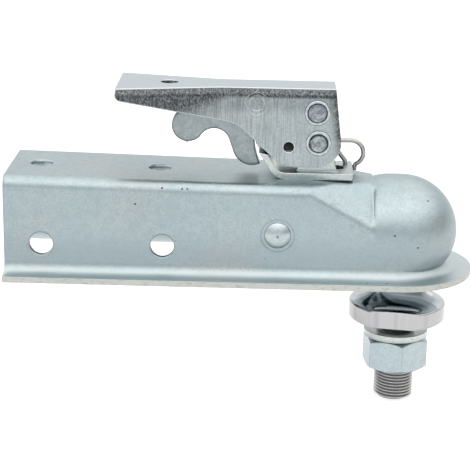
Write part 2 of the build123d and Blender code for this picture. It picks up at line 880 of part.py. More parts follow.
# Spring that pushes the clamp down, its ends cut flat
spring_bottom = clamp_web_top + spring_gap
spring_top = -spring_seat_drop
spring_pitch = (spring_top - spring_bottom) / spring_turns
with BuildPart() as clamp_spring:
    with BuildLine(Plane.XY.offset(spring_bottom)) as coil:
        Helix(spring_pitch, spring_top - spring_bottom, spring_radius, center=(spring_x, 0, 0))
    with BuildSketch(Plane(origin=coil.line @ 0, z_dir=coil.line % 0)):
        Circle(spring_wire / 2)
    sweep(path=coil.line, is_frenet=True)
    with BuildSketch(Plane.XY.offset(spring_bottom)):
        with Locations((spring_x, 0)):
            Circle(2 * spring_radius)
    extrude(amount=spring_top - spring_bottom, mode=Mode.INTERSECT)
clamp_spring.part.label = "clamp_spring"

# Wire loop, sprung between a hole in the plate and the plate's front edge
loop_turn = radians(loop_end_angle)
loop_end = (loop_x + loop_radius * cos(loop_turn), loop_z - loop_radius * sin(loop_turn))
hook_x = loop_end[0] + loop_end_radius * (cos(loop_turn) - 1)
hook_z = loop_end[1] - loop_end_radius * sin(loop_turn)
with BuildPart() as wire_loop:
    with BuildLine(Plane.XZ.offset(-wire_y)) as route:
        FilletPolyline(
            (wire_hole_x, -wire_end_depth),
            (wire_hole_x, wire_knee_z),
            (wire_rear_x, wire_rear_z),
            (wire_rear_x, loop_z + loop_radius),
            (loop_x, loop_z + loop_radius),
            radius=wire_corner,
        )
        ThreePointArc((loop_x, loop_z + loop_radius), (loop_x + loop_radius, loop_z), loop_end)
        TangentArc(loop_end, (hook_x, hook_z), tangent=(-sin(loop_turn), -cos(loop_turn)))
        Line((hook_x, hook_z), (hook_x, -wire_end_depth))
    with BuildSketch(Plane(origin=route.line @ 0, z_dir=route.line % 0)):
        Circle(wire_dia / 2)
    sweep(path=route.line)
wire_loop.part.label = "wire_loop"

# Torsion spring of the trigger, one leg under the handle's top and one beside the trigger
coil_start = face_gap + coil_wire / 2 + coil_pitch / 4 - handle_inner
trigger_coil = Edge.make_helix(
    coil_pitch, coil_pitch * coil_turns, coil_radius, (trigger_x, coil_start, trigger_z), (0, 1, 0)
)
with BuildPart() as trigger_spring:
    with BuildSketch(Plane(origin=trigger_coil @ 0, z_dir=trigger_coil % 0)):
        Circle(coil_wire / 2)
    sweep(path=trigger_coil, is_frenet=True)
    for place, way in ((0, -1), (1, 1)):
        with BuildSketch(Plane(origin=trigger_coil @ place, z_dir=(trigger_coil % place) * way)):
            Circle(coil_wire / 2)
        extrude(amount=coil_leg)
trigger_spring.part.label = "trigger_spring"

# Hitch ball: ball, neck, flange and shank in one forging
flare_z = foot_z - flare_start_drop
rim_top = flare_z - neck_flare
rim_bottom = foot_z - flange_bottom_drop
shank_end_z = foot_z - shank_end_drop
with BuildPart() as hitch_ball:
    with BuildSketch(Plane.XZ):
        with Locations((ball_x, 0)):
            with BuildLine():
                flat = ball_top_flat / 2
                crown = ball_z + sqrt(ball_radius**2 - flat**2)
                throat = ball_z - sqrt(ball_radius**2 - neck_radius**2)
                edge = flange_radius - neck_radius - neck_flare
                side = shank_dia / 2
                Polyline(
                    (ball_x, shank_end_z),
                    (ball_x, crown),
                    (ball_x + flat, crown),
                )
                ThreePointArc((ball_x + flat, crown), (ball_x + ball_radius, ball_z), (ball_x + neck_radius, throat))
                Line((ball_x + neck_radius, throat), (ball_x + neck_radius, flare_z))
                TangentArc(
                    (ball_x + neck_radius, flare_z),
                    (ball_x + neck_radius + neck_flare, rim_top),
                    tangent=(0, -1),
                )
                TangentArc(
                    (ball_x + neck_radius + neck_flare, rim_top),
                    (ball_x + flange_radius, rim_top - edge),
                    tangent=(1, 0),
                )
                Polyline(
                    (ball_x + flange_radius, rim_top - edge),
                    (ball_x + flange_radius, rim_bottom + flange_chamfer),
                    (ball_x + flange_radius - flange_chamfer, rim_bottom),
                    (ball_x + side, rim_bottom),
                    (ball_x + side, shank_end_z + shank_chamfer),
                    (ball_x + side - shank_chamfer, shank_end_z),
                    (ball_x, shank_end_z),
                )
        make_face()
    revolve(axis=Axis((ball_x, 0, 0), (0, 0, 1)))
    with BuildSketch(Plane.XY.offset(rim_bottom)):
        with Locations(Location((ball_x, 0, 0), (0, 0, 1), -flat_turn)):
            with Locations((0, flat_width), (0, -flat_width)):
                Rectangle(2 * flange_radius, flat_width)
    extrude(amount=rim_top - rim_bottom + neck_flare / 2, mode=Mode.SUBTRACT)
hitch_ball.part.label = "hitch_ball"

# Split washer, wound as a flat helix
washer_bottom = foot_z - washer_top_drop - washer_thickness - washer_rise / 2
washer_mid = (washer_dia + washer_bore) / 4
with BuildPart() as lock_washer:
    with BuildLine(Plane.XY.offset(washer_bottom + washer_thickness / 2)) as turn:
        Helix(
            washer_rise * 360 / washer_turn, washer_rise, washer_mid, center=(ball_x, 0, 0)
        )
    with BuildSketch(Plane(origin=turn.line @ 0, x_dir=(1, 0, 0), z_dir=(0, 1, 0))):
        Rectangle((washer_dia - washer_bore) / 2, washer_thickness)
    sweep(path=turn.line, is_frenet=True)
lock_washer.part.label = "lock_washer"

# Nut of the shank
nut_top_z = foot_z - nut_top_drop
nut_height = nut_bottom_drop - nut_top_drop
with BuildPart() as hex_nut:
    extrude(hexagon(ball_x, nut_top_z, nut_width, nut_turn - 90), amount=-nut_height)
    with BuildSketch(Plane.XZ):
        with Locations((ball_x, nut_top_z)):
            nut_corner = nut_width / sqrt(3)
            nut_face = nut_width / 2 - 0.3
            Polygon(
                (0, 0),
                (nut_face, 0),
                (nut_corner, -nut_chamfer),
                (nut_corner, nut_chamfer - nut_height),
                (nut_face, -nut_height),
                (0, -nut_height),
                align=None,
            )
    revolve(axis=Axis((ball_x, 0, 0), (0, 0, 1)), mode=Mode.INTERSECT)
    with BuildSketch(Plane.XY.offset(nut_top_z)):
        with Locations((ball_x, 0)):
            Circle(shank_dia / 2 + thread_clearance)
    extrude(amount=-nut_height, mode=Mode.SUBTRACT)
    nut_edges = hex_nut.edges().filter_by(GeomType.CIRCLE)
    chamfer(nut_edges.filter_by(lambda e: abs(e.radius - shank_dia / 2 - thread_clearance) < 0.01), 0.8)
hex_nut.part.label = "hex_nut"

os.makedirs("parts", exist_ok=True)
for piece in (
    coupler_body,
    clamp_rivet,
    clamp_spacers,
    latch_plate,
    wire_loop,
    clamp_spring,
    handle,
    lever_rivets,
    link_rivet,
    link_spacers,
    trigger_rivet,
    trigger_spacers,
    trigger_spring,
    trigger,
    latch_link,
    link_washer,
    link_nut,
    ball_clamp,
    hitch_ball,
    lock_washer,
    hex_nut,
):
    export_step(piece.part, f"parts/{piece.part.label}.step")
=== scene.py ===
import math
import bmesh
import bpy
from mathutils import Matrix, Vector


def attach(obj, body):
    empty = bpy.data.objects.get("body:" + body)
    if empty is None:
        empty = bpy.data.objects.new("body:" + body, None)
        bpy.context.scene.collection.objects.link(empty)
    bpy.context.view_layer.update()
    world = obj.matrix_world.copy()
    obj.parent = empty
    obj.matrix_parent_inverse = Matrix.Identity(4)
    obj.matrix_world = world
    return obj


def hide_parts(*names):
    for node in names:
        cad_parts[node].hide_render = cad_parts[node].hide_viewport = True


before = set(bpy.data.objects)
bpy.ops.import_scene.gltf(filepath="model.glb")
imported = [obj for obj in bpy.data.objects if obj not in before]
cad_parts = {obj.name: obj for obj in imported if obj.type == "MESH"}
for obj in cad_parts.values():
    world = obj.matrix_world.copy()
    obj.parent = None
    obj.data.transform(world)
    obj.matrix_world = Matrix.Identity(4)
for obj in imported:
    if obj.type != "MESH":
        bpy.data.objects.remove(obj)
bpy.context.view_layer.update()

# The coupler body is one steel pressing: a channel whose top and walls run into the
# ball socket, with a lip turned out all round its foot. It is barrel-plated in bright
# zinc, so it is satin, bluish and faintly patchy, with small pits and a sheared lip edge.
PATCH_SCALE = 19.0
PATCH_SPREAD = (0.38, 0.62)
WARM_SCALE = 11.4
WARM_SHIFT = (0.31, 0.17, 0.05)
WARM_SPREAD = (0.47, 0.66)
MOTTLE_SCALE = 260.0
GRAIN_SCALE = 1100.0
DARK_SPREAD = (0.42, 0.70)
DARK_OF_SHADE = 0.80
HIGHLIGHT_OF_TINT = 1.25
EDGE_BEND = (0.995, 0.90)
EDGE_SAMPLES = 8
GRAIN_RELIEF = 0.00005
PIT_SCALE = 95.0
PIT_COLOUR = (0.06, 0.055, 0.05)
PIT_REACH = (0.00055, 0.000385)
PITS = (
    (0.0315, -0.0272, -0.0033),
    (0.0409, -0.0272, -0.0035),
    (0.0433, -0.0272, -0.0034),
    (0.0190, -0.0279, -0.0112),
    (0.1566, -0.0159, -0.0097),
    (0.1409, -0.0266, -0.0241),
    (0.1520, -0.0262, -0.0298),
    (0.1284, -0.0334, -0.0456),
    (0.1378, -0.0328, -0.0456),
)
SOFT_EDGE = 0.0005
BEND_SOFT_EDGE = 0.0024
BEND_Z = (-0.0400, -0.0360)
FOOT_PAINTED_SHADE = (0.28, 0.34, 0.365)
FOOT_PAINTED_SHADE_Z = (-0.0240, -0.0350)
LIP_ROOT_Z = (-0.0430, -0.0385)
LIP_PAINTED_LIGHT = (0.50, 0.57, 0.585)
LIP_Z = (-0.0425, -0.0450)
CROSS_X = 0.0859
CROSS_Z = -0.0252
COIN_RADIUS = 0.0079
COIN_LINE = (0.00026, 0.00008)
COIN_GROOVE_SHADE = (0.17, 0.19, 0.20)
CREASE_MARKS = (
    (0.0967, -0.0267, -0.0042),
    (0.1123, -0.0261, -0.0098),
    (0.1243, -0.0270, -0.0185),
)
CREASE_REACH = (0.0085, 0.002)
CREASE_COLOUR = (0.24, 0.235, 0.23)
SCUFF_SCALE = 900.0
LIP_CENTRE_X = 0.1436
LIP_EDGE_REACH = (0.03688, 0.03695)
LIP_EDGE_COLOUR = (0.50, 0.515, 0.475)
LIP_EDGE_DARK = (0.20, 0.20, 0.18)
LIP_TEAR_SCALE = 700.0


def add_node(tree, kind, **inputs):
    """Adds a node to a tree and sets its named inputs."""
    made = tree.nodes.new(kind)
    for name, value in inputs.items():
        made.inputs[name.replace("_", " ")].default_value = value
    return made


def reckon(tree, operation, first, second=None):
    """A Math node of sockets or numbers; gives its result."""
    made = tree.nodes.new("ShaderNodeMath")
    made.operation = operation
    for number, value in enumerate((first, second)):
        if value is None:
            continue
        if isinstance(value, (int, float)):
            made.inputs[number].default_value = value
        else:
            tree.links.new(value, made.inputs[number])
    return made.outputs["Value"]


def grade(tree, value, low, high, out_low=0.0, out_high=1.0):
    """Carries a value from one range to another, held at both ends."""
    made = add_node(tree, "ShaderNodeMapRange", From_Min=low, From_Max=high, To_Min=out_low, To_Max=out_high)
    tree.links.new(value, made.inputs["Value"])
    return made.outputs["Result"]


def noise(tree, place, scale, detail=2.0, rough=0.5, stretch=None, shift=(0.0, 0.0, 0.0)):
    """Noise on the piece's own coordinates, stretched where it follows a direction."""
    made = add_node(tree, "ShaderNodeTexNoise", Scale=scale, Detail=detail, Roughness=rough)
    moved = add_node(tree, "ShaderNodeMapping", Location=shift, Scale=stretch or (1.0, 1.0, 1.0))
    tree.links.new(place, moved.inputs["Vector"])
    tree.links.new(moved.outputs["Vector"], made.inputs["Vector"])
    return made.outputs["Fac"]


def blend(tree, share, under, over):
    """Mixes a colour over another by a share."""
    made = add_node(tree, "ShaderNodeMix")
    made.data_type = "RGBA"
    for name, value in (("Factor", share), ("A", under), ("B", over)):
        socket = made.inputs[name]
        if isinstance(value, tuple):
            socket.default_value = (*value, 1.0)
        else:
            tree.links.new(value, socket)
    return made.outputs["Result"]


def tint_over(material, share, colour):
    """Lays one more colour over the material's own."""
    tree = material.node_tree
    base = tree.nodes["steel"].inputs["Base Color"]
    tree.links.new(blend(tree, share, base.links[0].from_socket, colour), base)


def bump_over(material, height, distance, strength=1.0):
    """Lays one more relief over the material's own."""
    tree = material.node_tree
    normal = tree.nodes["steel"].inputs["Normal"]
    made = add_node(tree, "ShaderNodeBump", Strength=strength, Distance=distance)
    tree.links.new(height, made.inputs["Height"])
    tree.links.new(normal.links[0].from_socket, made.inputs["Normal"])
    tree.links.new(made.outputs["Normal"], normal)


def span(tree, place, point):
    """How far a place lies from a point of the piece."""
    made = add_node(tree, "ShaderNodeVectorMath")
    made.operation = "DISTANCE"
    tree.links.new(place, made.inputs[0])
    made.inputs[1].default_value = point
    return made.outputs["Value"]


def from_axis(tree, across, up, centre):
    """How far a place lies from an axis across the piece."""
    level = reckon(tree, "POWER", reckon(tree, "SUBTRACT", across, centre[0]), 2.0)
    upright = reckon(tree, "POWER", reckon(tree, "SUBTRACT", up, centre[1]), 2.0)
    return reckon(tree, "SQRT", reckon(tree, "ADD", level, upright))


def nearest(tree, place, points):
    """How far a place lies from the nearest of some points of the piece."""
    least = span(tree, place, points[0])
    for point in points[1:]:
        least = reckon(tree, "MINIMUM", least, span(tree, place, point))
    return least


def off_ring(tree, out, radius):
    """How far a distance from an axis is from a ring's radius."""
    return reckon(tree, "ABSOLUTE", reckon(tree, "SUBTRACT", out, radius))


def both(tree, first, second):
    """The share in which two shares hold together."""
    return reckon(tree, "MULTIPLY", first, second)


def bare_metal(name):
    """A material with nothing yet but its metal shader and the piece's own place."""
    material = bpy.data.materials.new(name)
    material.use_nodes = True
    tree = material.node_tree
    tree.nodes.clear()
    out = add_node(tree, "ShaderNodeOutputMaterial")
    steel = add_node(tree, "ShaderNodeBsdfPrincipled", Metallic=1.0)
    steel.name = "steel"
    tree.links.new(steel.outputs["BSDF"], out.inputs["Surface"])
    add_node(tree, "ShaderNodeTexCoord").name = "place"
    return material


def own_place(material):
    """The material's tree, and the piece's own place, whole and as x, y and z."""
    tree = material.node_tree
    place = tree.nodes["place"].outputs["Object"]
    parts = add_node(tree, "ShaderNodeSeparateXYZ")
    tree.links.new(place, parts.inputs["Vector"])
    return tree, place, parts.outputs["X"], parts.outputs["Y"], parts.outputs["Z"]


def rounded_edge(tree, radius):
    """Rounds the edges in the shader's normal; gives how flat each place is, 1 being flat."""
    bevel = add_node(tree, "ShaderNodeBevel", Radius=radius)
    bevel.name = "soft edge"
    bevel.samples = EDGE_SAMPLES
    true = add_node(tree, "ShaderNodeNewGeometry")
    bend = add_node(tree, "ShaderNodeVectorMath")
    bend.operation = "DOT_PRODUCT"
    tree.links.new(bevel.outputs["Normal"], bend.inputs[0])
    tree.links.new(true.outputs["Normal"], bend.inputs[1])
    tree.links.new(bevel.outputs["Normal"], tree.nodes["steel"].inputs["Normal"])
    return bend.outputs["Value"]


def plated_steel(name, tint, warm, shade, rough, soft_edge, painted_edge_share=0.35, painted_edge_colour=None, pits=0.0):
    """Zinc plate: faint patches, mottling, grain and a few dark pits, with soft edges painted lighter as a
    highlight, or in a given edge colour as a painted highlight or shade.
    """
    material = bare_metal(name)
    tree = material.node_tree
    place = tree.nodes["place"].outputs["Object"]
    steel = tree.nodes["steel"]
    patches = noise(tree, place, PATCH_SCALE, detail=3.0, rough=0.55)
    warmth = noise(tree, place, WARM_SCALE, shift=WARM_SHIFT)
    mottle = noise(tree, place, MOTTLE_SCALE, detail=3.0, rough=0.6)
    grain = noise(tree, place, GRAIN_SCALE, rough=0.6)
    colour = blend(tree, grade(tree, patches, *PATCH_SPREAD), shade, tint)
    colour = blend(tree, grade(tree, warmth, *WARM_SPREAD, out_high=0.85), colour, warm)
    darker = tuple(part * DARK_OF_SHADE for part in shade)
    colour = blend(tree, grade(tree, mottle, *DARK_SPREAD, out_high=0.45), colour, darker)
    colour = blend(tree, grade(tree, grain, *DARK_SPREAD, out_high=0.70), colour, darker)

    # The edges are painted: lighter than the tint as a painted highlight, or in the edge colour, which some
    # pieces give dark as painted shade lines.
    painted_edge = grade(tree, rounded_edge(tree, soft_edge), *EDGE_BEND, out_high=painted_edge_share)
    painted_edge.node.name = "painted edge"
    colour = blend(tree, painted_edge, colour, painted_edge_colour or tuple(part * HIGHLIGHT_OF_TINT for part in tint))
    if pits:
        cells = add_node(tree, "ShaderNodeTexVoronoi", Scale=PIT_SCALE)
        tree.links.new(place, cells.inputs["Vector"])
        colour = blend(tree, grade(tree, cells.outputs["Distance"], pits, pits * 0.6), colour, PIT_COLOUR)
    tree.links.new(colour, steel.inputs["Base Color"])
    tree.links.new(grade(tree, warmth, 0.3, 0.7, rough - 0.05, rough + 0.06), steel.inputs["Roughness"])
    bump_over(material, grain, GRAIN_RELIEF, strength=0.25)
    return material


def dress(nodes, material):
    """Puts one finish on CAD nodes, in every material slot that they have."""
    for name in nodes:
        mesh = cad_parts[name].data
        if not mesh.materials:
            mesh.materials.append(material)
        for number in range(len(mesh.materials)):
            mesh.materials[number] = material


pressing = plated_steel(
    "zinc_pressing",
    tint=(0.405, 0.478, 0.495),
    warm=(0.49, 0.478, 0.47),
    shade=(0.37, 0.455, 0.482),
    rough=0.40,
    soft_edge=SOFT_EDGE,
    pits=0.04,
)
tree, place, x, y, z = own_place(pressing)
edge_radius = grade(tree, z, *BEND_Z, SOFT_EDGE, BEND_SOFT_EDGE)
tree.links.new(edge_radius, tree.nodes["soft edge"].inputs["Radius"])
# Painted shade: the wall is coloured darker towards its foot, where it turns into the lip.
painted_foot_shade = both(tree, grade(tree, z, *FOOT_PAINTED_SHADE_Z, out_high=0.50), grade(tree, z, *LIP_ROOT_Z))
tint_over(pressing, painted_foot_shade, FOOT_PAINTED_SHADE)
# Painted light: the lip's upper face is coloured lighter than the wall above it.
tint_over(pressing, grade(tree, z, *LIP_Z, out_high=0.85), LIP_PAINTED_LIGHT)
# Painted shade: a thin dark line marks the coined ring round the cross rivet.
off_coin = off_ring(tree, from_axis(tree, x, z, (CROSS_X, CROSS_Z)), COIN_RADIUS)
tint_over(pressing, grade(tree, off_coin, *COIN_LINE, out_high=0.55), COIN_GROOVE_SHADE)
scuffs = noise(tree, place, SCUFF_SCALE, detail=4.0, rough=0.8, stretch=(0.5, 1.0, 1.0))
near_crease = grade(tree, nearest(tree, place, CREASE_MARKS), *CREASE_REACH)
tint_over(pressing, both(tree, near_crease, grade(tree, scuffs, 0.54, 0.64, out_high=0.65)), CREASE_COLOUR)
tint_over(pressing, grade(tree, nearest(tree, place, PITS), *PIT_REACH, out_high=0.95), PIT_COLOUR)
ahead = reckon(tree, "MAXIMUM", reckon(tree, "SUBTRACT", x, LIP_CENTRE_X), 0.0)
on_edge = grade(tree, from_axis(tree, ahead, y, (0.0, 0.0)), *LIP_EDGE_REACH, out_high=0.85)
tint_over(pressing, on_edge, LIP_EDGE_COLOUR)
torn = noise(tree, place, LIP_TEAR_SCALE, detail=3.0, rough=0.7, stretch=(0.6, 0.6, 1.6))
tint_over(pressing, both(tree, on_edge, grade(tree, torn, 0.52, 0.68, out_high=0.5)), LIP_EDGE_DARK)
dress(["coupler_body"], pressing)

# The latch plate lies on the channel and is bent up behind as the catch. It is cut
# from strip and plated before it is fixed; its edges are painted lighter as a highlight.
catch_zinc = plated_steel(
    "zinc_catch",
    tint=(0.53, 0.58, 0.575),
    warm=(0.58, 0.585, 0.555),
    shade=(0.44, 0.50, 0.51),
    rough=0.30,
    soft_edge=0.0006,
    painted_edge_share=0.8,
    painted_edge_colour=(0.68, 0.71, 0.69),
)
dress(["latch_plate"], catch_zinc)

# The handle is one sheet folded to an upside-down U and flared at its tail for the
# hand. Its sides keep upright rolling streaks. The top is painted lighter, the fold and
# lower edges carry painted highlights, a dark band just under the fold is a painted
# reflection, the inside is painted shade, and the front edge is darker and grainy.
WEB_PAINTED_LIGHT = (0.455, 0.515, 0.545)
WEB_Z = (0.04125, 0.04155)
FOLD_Z = (0.04169, 0.04166)
STREAK_STRETCH = (1700.0, 60.0, 70.0)
STREAK_X = (0.100, 0.050)
STREAK_DARK = (0.14, 0.155, 0.165)
STREAK_RELIEF = 0.00004
SPECKLE_SCALE = 1500.0
DARK_BAND = (0.045, 0.048, 0.052)
BAND_X = (0.030, 0.062)
BAND_FOOT_Z = (0.0255, 0.0375)
BAND_FADE_X = (0.030, 0.070)
BAND_FADE = (0.0130, 0.0016)
BAND_EDGE = (-0.6, 0.4)
BAND_HAZE = (-0.0085, -0.003825)
SIDE_Y = (0.0065, 0.0080)
NOSE_TOP_X = 0.1117
NOSE_TOP_Z = 0.0417
NOSE_LEAN = 0.1233
NOSE_DEPTH = (-0.0042, -0.0012)
NOSE_Z = (0.008, 0.020)
INSIDE_Y = (0.0097, 0.0096)
INSIDE_Z = (0.0391, 0.0389)
INSIDE_X = (0.062, 0.072)
INSIDE_PAINTED_SHADE = (0.05, 0.055, 0.06)
FLUSH_RIVET = (0.0748, 0.0347)
FLUSH_RING = (0.0060, 0.0068)
RIM_HIGHLIGHT = (0.74, 0.79, 0.80)

handle_zinc = plated_steel(
    "zinc_handle",
    tint=(0.415, 0.47, 0.48),
    warm=(0.44, 0.465, 0.465),
    shade=(0.36, 0.41, 0.43),
    rough=0.26,
    soft_edge=0.0009,
    painted_edge_share=0.9,
)
tree, place, x, y, z = own_place(handle_zinc)
on_web = grade(tree, z, *WEB_Z)
off_web = reckon(tree, "SUBTRACT", 1.0, on_web)
# Painted light: the top is coloured lighter than the sides, and the fold just below it gets a painted
# highlight.
tint_over(handle_zinc, both(tree, on_web, 0.9), WEB_PAINTED_LIGHT)
tint_over(handle_zinc, both(tree, on_web, grade(tree, z, *FOLD_Z, out_high=0.85)), RIM_HIGHLIGHT)

streaks = noise(tree, place, 1.0, detail=3.0, rough=0.7, stretch=STREAK_STRETCH)
streak_share = both(tree, grade(tree, streaks, 0.42, 0.66), grade(tree, x, *STREAK_X, 0.30, 0.75))
tint_over(handle_zinc, both(tree, streak_share, off_web), STREAK_DARK)

aside = reckon(tree, "ABSOLUTE", y)
on_side = both(tree, off_web, grade(tree, aside, *SIDE_Y))
speckle = noise(tree, place, SPECKLE_SCALE, detail=3.0, rough=0.8, stretch=(1.0, 1.0, 0.55))
# Painted reflection: a dark, speckled band just under the fold, widest towards the tail, with a fainter
# darkening below it.
above = reckon(tree, "SUBTRACT", z, grade(tree, x, *BAND_X, *BAND_FOOT_Z))
fade = grade(tree, x, *BAND_FADE_X, *BAND_FADE)
reflection_band = grade(tree, reckon(tree, "DIVIDE", above, fade), *BAND_EDGE)
reflection_haze = grade(tree, above, *BAND_HAZE, out_high=0.33)
painted_reflection = both(tree, reckon(tree, "MAXIMUM", reflection_band, reflection_haze), on_side)
tint_over(handle_zinc, both(tree, painted_reflection, grade(tree, speckle, 0.36, 0.58, 0.35, 1.0)), DARK_BAND)

# The front edge is coloured darker and grainy.
lean = reckon(tree, "MULTIPLY", reckon(tree, "SUBTRACT", NOSE_TOP_Z, z), NOSE_LEAN)
off_front = reckon(tree, "SUBTRACT", reckon(tree, "SUBTRACT", x, NOSE_TOP_X), lean)
nose = both(tree, grade(tree, off_front, *NOSE_DEPTH), grade(tree, speckle, 0.36, 0.56, 0.30, 0.95))
nose = both(tree, nose, both(tree, on_side, grade(tree, z, *NOSE_Z, 0.45, 1.0)))
tint_over(handle_zinc, nose, DARK_BAND)

# Painted shade: the inner faces of the sides are coloured near black.
inside_shade = both(tree, grade(tree, aside, *INSIDE_Y), grade(tree, z, *INSIDE_Z))
tint_over(handle_zinc, both(tree, inside_shade, grade(tree, x, *INSIDE_X)), INSIDE_PAINTED_SHADE)
# Painted highlight: the sides' edges are lighter, except along the front edge and round the flush rivet.
rim_highlight = both(tree, tree.nodes["painted edge"].outputs["Result"], on_side)
rim_highlight = both(tree, rim_highlight, grade(tree, nose, 0.5, 0.1))
rim_highlight = both(tree, rim_highlight, grade(tree, from_axis(tree, x, z, FLUSH_RIVET), *FLUSH_RING, 0.25, 1.0))
tint_over(handle_zinc, rim_highlight, RIM_HIGHLIGHT)
bump_over(handle_zinc, streaks, STREAK_RELIEF, strength=0.5)
dress(["handle", "trigger_rivet"], handle_zinc)

# The trigger is cut from thicker plate and tumbled until its edges are round, so it is
# smooth and a little duller than the handle above it.
TUMBLE_SCALE = 420.0
TUMBLE_DARK = (0.20, 0.23, 0.245)
TUMBLE_RELIEF = 0.00012

# Painted shade: the trigger's rounded edges are coloured darker.
trigger_zinc = plated_steel(
    "zinc_trigger",
    tint=(0.355, 0.405, 0.42),
    warm=(0.385, 0.41, 0.41),
    shade=(0.29, 0.34, 0.36),
    rough=0.33,
    soft_edge=0.0018,
    painted_edge_share=0.40,
    painted_edge_colour=(0.20, 0.235, 0.25),
)
tree = trigger_zinc.node_tree
tumbled = noise(tree, tree.nodes["place"].outputs["Object"], TUMBLE_SCALE, detail=4.0, rough=0.7)
tint_over(trigger_zinc, grade(tree, tumbled, 0.46, 0.66, out_high=0.5), TUMBLE_DARK)
bump_over(trigger_zinc, tumbled, TUMBLE_RELIEF, strength=0.5)
dress(["trigger"], trigger_zinc)

# The handle's rivets are headed cold by a tool that leaves each head rough inside a
# smooth ring, so the plate on them is broken and mottled. The ring is painted lighter as a
# highlight, and thin painted shade lines mark the cup's rim and the head's outer edge.
UPPER_HEAD = (0.1032, 0.0308)
LOWER_HEAD = (0.1041, 0.0163)
RING_INSIDE = (0.0047, 0.0050)
RING_OUTSIDE = (0.0059, 0.0056)
RING_HIGHLIGHT = (0.64, 0.70, 0.72)
CUP_FLOOR = 0.0034
CUP_RIM = 0.0047
CUP_EDGE = (0.0047, 0.0043)
CUP_LINE = (0.00022, 0.00008)
CUP_RELIEF = 0.0011
DENT_SCALE = 430.0
DENT_SPREAD = (0.38, 0.60)
DENT_RELIEF = 0.0005
HEAD_MOTTLE_AND_SHADE = (0.15, 0.165, 0.185)

head_zinc = plated_steel(
    "zinc_rivet",
    tint=(0.50, 0.56, 0.58),
    warm=(0.52, 0.55, 0.55),
    shade=(0.42, 0.48, 0.51),
    rough=0.26,
    soft_edge=0.0004,
    painted_edge_share=0.8,
    painted_edge_colour=(0.12, 0.13, 0.14),
)
tree, place, x, _, z = own_place(head_zinc)
out = reckon(tree, "MINIMUM", from_axis(tree, x, z, UPPER_HEAD), from_axis(tree, x, z, LOWER_HEAD))
dents = noise(tree, place, DENT_SCALE, detail=4.0, rough=0.65)
ring = both(tree, grade(tree, out, *RING_INSIDE), grade(tree, out, *RING_OUTSIDE))
tint_over(head_zinc, both(tree, ring, grade(tree, dents, *DENT_SPREAD, 0.75, 0.15)), RING_HIGHLIGHT)
in_cup = grade(tree, out, *CUP_EDGE, 0.12, 1.0)
tint_over(head_zinc, both(tree, in_cup, grade(tree, dents, *DENT_SPREAD, 0.15, 0.88)), HEAD_MOTTLE_AND_SHADE)
# Painted shade: a thin dark line at the cup's rim.
tint_over(head_zinc, grade(tree, off_ring(tree, out, CUP_RIM), *CUP_LINE, out_high=0.5), HEAD_MOTTLE_AND_SHADE)
bump_over(head_zinc, grade(tree, out, CUP_FLOOR, CUP_RIM), CUP_RELIEF)
bump_over(head_zinc, dents, DENT_RELIEF, strength=0.8)
dress(["lever_rivets", "link_rivet"], head_zinc)

# The cross rivet's domed head is spun over, which leaves fine arcs round its centre
# and a small pit where the tool's point stood.
ARC_SCALE = 2600.0
ARC_TURNS = 1.1
ARC_DARK = (0.40, 0.43, 0.44)
ARC_RELIEF = 0.00010
POINT_REACH = (0.00075, 0.00040)
POINT_DARK = (0.12, 0.12, 0.12)

cross_zinc = plated_steel(
    "zinc_cross_rivet",
    tint=(0.53, 0.60, 0.605),
    warm=(0.55, 0.59, 0.58),
    shade=(0.47, 0.54, 0.555),
    rough=0.32,
    soft_edge=0.0004,
)
tree, _, x, _, z = own_place(cross_zinc)
out = from_axis(tree, x, z, (CROSS_X, CROSS_Z))
turn = reckon(
    tree, "ARCTAN2", reckon(tree, "SUBTRACT", z, CROSS_Z), reckon(tree, "SUBTRACT", x, CROSS_X)
)
spun = add_node(tree, "ShaderNodeCombineXYZ")
tree.links.new(reckon(tree, "MULTIPLY", out, ARC_SCALE), spun.inputs["X"])
tree.links.new(reckon(tree, "MULTIPLY", turn, ARC_TURNS), spun.inputs["Y"])
arcs = add_node(tree, "ShaderNodeTexNoise", Scale=1.0, Detail=3.0, Roughness=0.6)
tree.links.new(spun.outputs["Vector"], arcs.inputs["Vector"])
tint_over(cross_zinc, grade(tree, arcs.outputs["Fac"], 0.50, 0.70, out_high=0.55), ARC_DARK)
tint_over(cross_zinc, grade(tree, out, *POINT_REACH, out_high=0.8), POINT_DARK)
bump_over(cross_zinc, arcs.outputs["Fac"], ARC_RELIEF, strength=0.6)
dress(["clamp_rivet"], cross_zinc)

# The wire loop and the two springs are drawn wire, smooth and slightly warm in colour.
# Each is wound or bent cold from one length and cut square at its ends.
wire_steel = plated_steel(
    "drawn_wire",
    tint=(0.50, 0.50, 0.475),
    warm=(0.52, 0.50, 0.465),
    shade=(0.41, 0.41, 0.395),
    rough=0.24,
    soft_edge=0.0001,
    painted_edge_share=0.0,
)
dress(["wire_loop", "clamp_spring", "trigger_spring"], wire_steel)

# Inside the channel hang the jaw, the link that pulls it up, the link's washer and nut
# and the tubes that keep them central. They are plated too, duller in the shade.
inner_zinc = plated_steel(
    "zinc_inner",
    tint=(0.42, 0.47, 0.48),
    warm=(0.45, 0.46, 0.45),
    shade=(0.35, 0.40, 0.42),
    rough=0.40,
    soft_edge=0.0004,
)
dress(["ball_clamp", "latch_link", "link_washer", "link_nut"], inner_zinc)
dress(["clamp_spacers", "link_spacers", "trigger_spacers"], inner_zinc)

